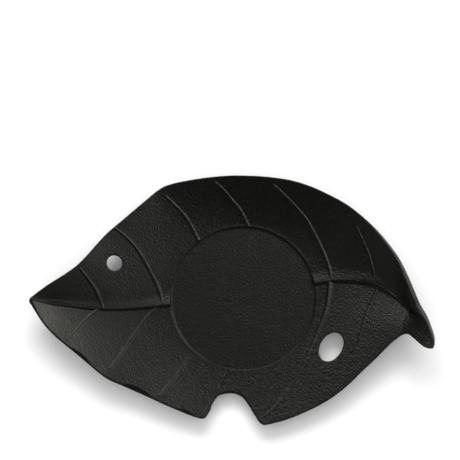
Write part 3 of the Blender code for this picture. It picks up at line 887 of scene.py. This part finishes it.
def moulded_rubber(skin):
    """Black EPDM rubber, moulded in a spark-eroded tool, which leaves it matt with a very fine grain."""
    material, tree = new_material("moulded_black_rubber")
    place = add_node(tree, "ShaderNodeTexCoord").outputs["Object"]
    grain = add_node(
        tree, "ShaderNodeTexNoise", {"Vector": place, "Scale": 1 / skin.rubber_grain, "Detail": 2}
    )
    bump = add_node(
        tree, "ShaderNodeBump",
        {"Strength": 1, "Distance": skin.rubber_grain_depth, "Height": grain.outputs["Fac"]},
    )
    shader = add_node(
        tree, "ShaderNodeBsdfPrincipled",
        {
            "Base Color": (*skin.rubber, 1), "Roughness": 0.75, "Metallic": 0, "IOR": 1.52,
            "Normal": bump.outputs["Normal"],
        },
    )
    add_node(tree, "ShaderNodeOutputMaterial", {"Surface": shader.outputs["BSDF"]})
    return material


def white_paper(studio):
    """Matt white studio paper, which two softboxes of its own light round the dish.

    What looks at it, and not what it lights, also sees a little white of its own there, and more of it
    far off, where those softboxes don't reach.
    """
    material, tree = new_material("matt_white_studio_paper")
    place = add_node(tree, "ShaderNodeTexCoord").outputs["Object"]
    reach = add_node(tree, "ShaderNodeVectorMath", {0: place}, operation="LENGTH").outputs["Value"]
    glow = add_node(
        tree, "ShaderNodeMapRange",
        {
            "Value": reach, "From Min": studio.glow_start, "From Max": studio.glow_end,
            "To Min": studio.glow, "To Max": studio.far_glow,
        },
    ).outputs["Result"]
    ray = add_node(tree, "ShaderNodeLightPath").outputs
    seen = ray["Is Camera Ray"]
    for kind in ("Is Glossy Ray", "Is Transmission Ray"):
        either = add_node(tree, "ShaderNodeMath", {0: seen, 1: ray[kind]}, operation="MAXIMUM")
        seen = either.outputs["Value"]
    level = add_node(tree, "ShaderNodeMath", {0: glow, 1: seen}, operation="MULTIPLY")
    paper = add_node(
        tree, "ShaderNodeBsdfPrincipled",
        {
            "Base Color": (*studio.floor, 1), "Roughness": 1, "Specular IOR Level": 0,
            "Emission Color": (1, 1, 1, 1), "Emission Strength": level.outputs["Value"],
        },
    )
    add_node(tree, "ShaderNodeOutputMaterial", {"Surface": paper.outputs["BSDF"]})
    return material


def cut_finely(bm, sizes, runs, sheet):
    """Cut both sides of the flat leaf into cells, finer along the ribs, the near edge and the fold."""
    upper, lower = [level_faces(bm, height, sides=5) for height in (sizes.thickness, 0)]
    split = bmesh.ops.triangulate(bm, faces=lower, ngon_method="EAR_CLIP")["faces"]
    bmesh.ops.join_triangles(bm, faces=split, angle_face_threshold=pi, angle_shape_threshold=pi)
    bm.normal_update()
    lower = level_faces(bm, 0)
    for axis in (Vector((1, 0, 0)), Vector((0, 1, 0))):
        upper = dice(bm, upper, axis, UPPER_CELL)
        lower = dice(bm, lower, axis, LOWER_CELL)
    fine = [(run, min(left, sizes.ledge_drop), right) for run, _, _, _, left, right in runs]
    fine += [(run, max(flat[2] for flat in EDGE_FLATS), 0) for run in near_edges(sizes)]
    fine.append((sheet.valley_line[-FOLD_POINTS:], sizes.valley_round, sizes.valley_round))
    refine_along(bm, upper, fine)
    bmesh.ops.triangulate(bm, faces=[face for face in bm.faces if len(face.verts) > 4])


def shape_leaf(bm, sizes, runs, sheet, level):
    """Raise the ribs, sink the recess, the pit and the near edge, and bend the leaf.

    Returns how coarse the sand shows and whether the paint is dull at each vertex.
    """
    flat = np.array([vert.co for vert in bm.verts])
    top = flat[:, 2] > sizes.thickness - WELD_REACH
    outside = np.linalg.norm(flat[:, :2], axis=1) > sizes.recess_radius
    rim = ~top & (flat[:, 2] > WELD_REACH) & outside
    fall = in_parts(flat[:, :2], lambda part: edge_depth(part, sizes))
    flat[:, 2] -= fall * np.clip(flat[:, 2] / sizes.thickness, 0, 1)
    upper_places = flat[top, :2]
    sunk = recess_share(upper_places, sizes)
    ribs = in_parts(upper_places, lambda part: rib_height(part, runs))
    flat[top, 2] += ribs * np.clip(1 - 2 * sunk, 0, 1)
    flat[top, 2] -= sizes.recess_depth * sunk + pit_depth(upper_places, sizes)
    bent, steepness = sheet.bent(flat, level)
    for vert, place in zip(bm.verts, bent):
        vert.co = place
    steep = ease((steepness - GENTLE_SLOPE_SHARE) / (STEEP_SLOPE_SHARE - GENTLE_SLOPE_SHARE))
    worn = ease((WEAR_END_SHARE * sizes.leaf_length - flat[:, 0]) / (WEAR_REACH_SHARE * sizes.leaf_length))
    sand = (1 - (1 - STEEP_SAND_SHARE) * steep * (flat[:, 0] > 0)) * (1 - (1 - TIP_SAND_SHARE) * worn)
    sand[top] *= 1 - (1 - RECESS_SAND_SHARE) * sunk
    dull = rim & in_parts(flat[:, :2], lambda part: near_run(part, sheet.valley_line)[0] < 0)
    return sand, dull


class LEAFDISH_OT_cast_leaf(bpy.types.Operator):
    """Model the casting: a flat leaf with its holes, bosses, recess and ribs, bent and roughened"""

    bl_idname = "leaf_dish.cast_leaf"
    bl_label = "Cast Leaf"

    def execute(self, context):
        scene = context.scene
        sizes, foot, skin = scene.leaf_sizes, scene.foot_sizes, scene.skin_settings
        places, middle = feet_from_frame()
        bm = bmesh.new()
        recess, bosses = flat_leaf(bm, sizes, [place - middle for place in places])
        for face in bosses:
            cast_boss(bm, face, sizes, foot)
        sink_recess(bm, recess, sizes)
        runs = list(rib_runs(sizes))
        sheet = LeafSheet(sizes)
        cut_finely(bm, sizes, runs, sheet)
        level = foot.pad_height + foot.fit_gap + sizes.boss_height
        sand, dull = shape_leaf(bm, sizes, runs, sheet, level)
        sand_layer, dull_layer = [bm.verts.layers.float.new(name) for name in (SAND, DULL)]
        for vert, coarse, dry in zip(bm.verts, sand, dull):
            vert[sand_layer] = coarse
            vert[dull_layer] = dry
        bmesh.ops.translate(bm, verts=bm.verts, vec=(*middle, 0))
        bmesh.ops.recalc_face_normals(bm, faces=bm.faces)
        roughen(bm, skin, sand_layer)
        add_piece("iron_leaf", bm, painted_cast_iron(skin), "black_iron", "leaf_casting")
        return {"FINISHED"}


def foot_profile(foot):
    """Half the section of a foot, as radius and height: from its dimple's middle to its stem's top."""
    top = FOOT_HIGH.z
    pad, stem, corner = foot.pad_diameter / 2, foot.stem_diameter / 2, foot.pad_round
    small = corner / TOP_ROUND_PARTS
    turns = [pi / 2 * step / CORNER_STEPS for step in range(CORNER_STEPS + 1)]
    radius_share, depth_share = DIMPLE_SLOPE_SHARES
    return [
        (0, foot.dimple_depth),
        (foot.dimple_radius * radius_share, foot.dimple_depth * depth_share),
        (foot.dimple_radius, 0),
        *[(pad - corner * (1 - sin(turn)), corner * (1 - cos(turn))) for turn in turns],
        *[(pad - small * (1 - cos(turn)), foot.pad_height - small * (1 - sin(turn))) for turn in turns],
        (stem, foot.pad_height),
        (stem, top - foot.fit_gap),
        (stem - foot.fit_gap, top),
        (0, top),
    ]


class LEAFDISH_OT_mould_feet(bpy.types.Operator):
    """Model the three push-in rubber feet"""

    bl_idname = "leaf_dish.mould_feet"
    bl_label = "Mould Feet"

    def execute(self, context):
        rubber = moulded_rubber(context.scene.skin_settings)
        profile = foot_profile(context.scene.foot_sizes)
        for name in FOOT_NODES:
            low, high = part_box(name)
            bm = bmesh.new()
            verts = [bm.verts.new((radius, 0, height)) for radius, height in profile]
            edges = [bm.edges.new(pair) for pair in zip(verts, verts[1:])]
            bmesh.ops.spin(
                bm, geom=verts + edges, cent=(0, 0, 0), axis=(0, 0, 1), angle=2 * pi, steps=FOOT_SIDES,
                use_merge=True,
            )
            bmesh.ops.remove_doubles(bm, verts=bm.verts, dist=WELD_REACH)
            middle = (low + high) / 2
            bmesh.ops.translate(bm, verts=bm.verts, vec=(middle.x, middle.y, low.z))
            add_piece("rubber_" + name, bm, rubber, "foot_rubber", name)
        return {"FINISHED"}


class LEAFDISH_OT_light_studio(bpy.types.Operator):
    """Lay the floor, hang the softboxes and place the camera"""

    bl_idname = "leaf_dish.light_studio"
    bl_label = "Light Studio"

    def execute(self, context):
        scene, studio = context.scene, context.scene.studio_settings
        bm = bmesh.new()
        bmesh.ops.create_circle(bm, cap_ends=True, segments=FLOOR_SIDES, radius=studio.floor_reach)
        floor = add_object("floor", bm, white_paper(studio))
        lit_floor, lit_dish = [bpy.data.collections.new(name) for name in ("lit_floor", "lit_dish")]
        lit_floor.objects.link(floor)
        for piece in scene.objects:
            if piece.type == "MESH" and piece != floor:
                lit_dish.objects.link(piece)
        for name, (azimuth, elevation, width, height, radiance) in LAMPS.items():
            lamp = bpy.data.lights.new(name, "AREA")
            lamp.shape = "RECTANGLE"
            lamp.size, lamp.size_y = width, height
            lamp.energy = radiance * studio.lamp_level * pi * width * height
            item = bpy.data.objects.new(name, lamp)
            turn, lift = radians(azimuth), radians(elevation)
            towards = Vector((sin(turn) * cos(lift), cos(turn) * cos(lift), sin(lift)))
            item.location = towards * studio.lamp_distance
            item.rotation_euler = towards.to_track_quat("Z", "Y").to_euler()
            item.visible_camera = False
            item.light_linking.receiver_collection = lit_floor if name in FLOOR_LAMPS else lit_dish
            scene.collection.objects.link(item)
        world = bpy.data.worlds.new("room")
        scene.world = world
        world.use_nodes = True
        world.node_tree.nodes["Background"].inputs["Color"].default_value = (1, 1, 1, 1)
        world.node_tree.nodes["Background"].inputs["Strength"].default_value = studio.world_level
        scene.view_settings.view_transform = "Standard"
        self.place_camera(scene, studio)
        return {"FINISHED"}

    def place_camera(self, scene, studio):
        """Put the recess's middle where the photograph has it."""
        camera = bpy.data.cameras.new("camera")
        camera.lens, camera.sensor_width = studio.lens, studio.sensor
        item = bpy.data.objects.new("camera", camera)
        scene.collection.objects.link(item)
        lift = studio.camera_elevation
        back = Vector((0, -cos(lift), sin(lift)))
        up = Vector((0, sin(lift), cos(lift)))
        _, middle = feet_from_frame()
        sizes, foot = scene.leaf_sizes, scene.foot_sizes
        level = foot.pad_height + foot.fit_gap + sizes.boss_height + sizes.thickness
        right, down = [(pixel - FRAME_PIXELS / 2) * PIXEL_SIZE for pixel in RECESS_PIXEL]
        target = Vector((*middle, level)) - Vector((right, 0, 0)) + up * down
        item.location = target + back * (FRAME_PIXELS * PIXEL_SIZE * studio.lens / studio.sensor)
        item.rotation_euler = back.to_track_quat("Z", "Y").to_euler()
        camera.clip_end = studio.floor_reach * 2
        scene.camera = item


class LEAFDISH_PT_sidebar(bpy.types.Panel):
    """Sizes, finish and studio of the leaf dish"""

    bl_label = "Leaf Dish"
    bl_idname = "LEAFDISH_PT_sidebar"
    bl_space_type = "VIEW_3D"
    bl_region_type = "UI"
    bl_category = "Leaf Dish"

    def draw(self, context):
        for group in GROUPS:
            settings = getattr(context.scene, group)
            box = self.layout.box()
            for name in settings.__annotations__:
                box.prop(settings, name)
        for operator in OPERATORS:
            self.layout.operator(operator.bl_idname)


GROUPS = {
    "leaf_sizes": LeafSizes,
    "foot_sizes": FootSizes,
    "skin_settings": SkinSettings,
    "studio_settings": StudioSettings,
}
OPERATORS = (LEAFDISH_OT_cast_leaf, LEAFDISH_OT_mould_feet, LEAFDISH_OT_light_studio)
CLASSES = (*GROUPS.values(), *OPERATORS, LEAFDISH_PT_sidebar)


def register():
    for item in CLASSES:
        bpy.utils.register_class(item)
    for name, group in GROUPS.items():
        setattr(bpy.types.Scene, name, PointerProperty(type=group))


def unregister():
    for name in GROUPS:
        delattr(bpy.types.Scene, name)
    for item in reversed(CLASSES):
        bpy.utils.unregister_class(item)


def main():
    register()
    bpy.ops.leaf_dish.cast_leaf()
    bpy.ops.leaf_dish.mould_feet()
    bpy.ops.leaf_dish.light_studio()


if __name__ == "__main__":
    main()
